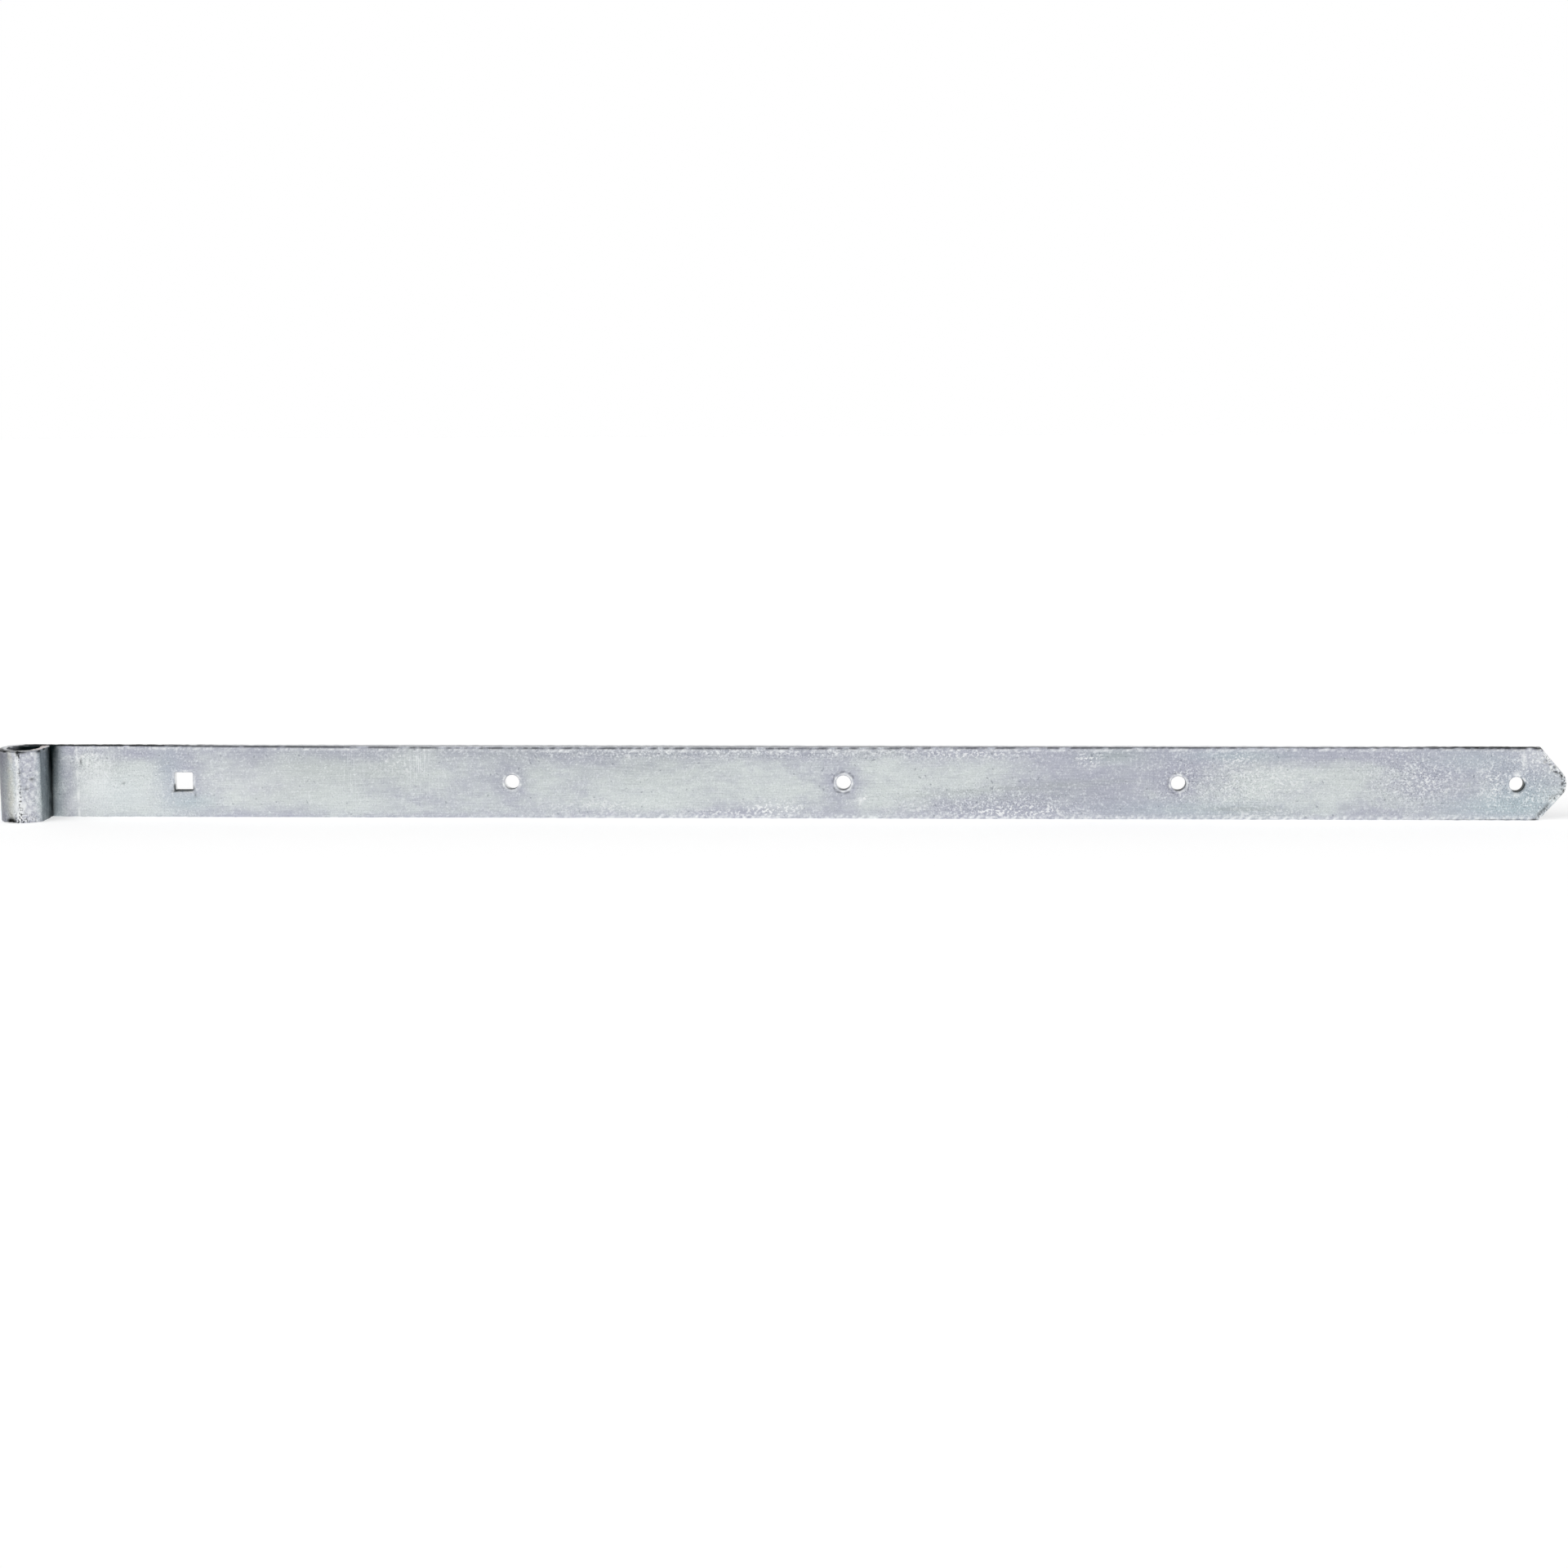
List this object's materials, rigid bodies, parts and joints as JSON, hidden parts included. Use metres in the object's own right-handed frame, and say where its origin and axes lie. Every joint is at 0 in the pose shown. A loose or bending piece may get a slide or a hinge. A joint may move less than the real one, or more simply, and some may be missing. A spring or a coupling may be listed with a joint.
{
  "type": "strap hinge band with rolled eye",
  "caption": "Long flat steel strap with a rolled eye at one end, a pointed tip at the other, and a square hole and round holes for its bolts.",
  "frame": {"origin": "on the axis of the rolled eye, half way up the strap", "axes": "+X along the strap to its tip, +Z along the eye's axis and the hook's pin, and the strap's front face towards -Y"},
  "size_m": [1.067, 0.0335, 0.05],
  "materials": {
    "galvanised_steel": "hot-dip galvanised, mottled satin zinc"
  },
  "bodies": {
    "root": {"band": "galvanised_steel"}
  },
  "joints": []
}
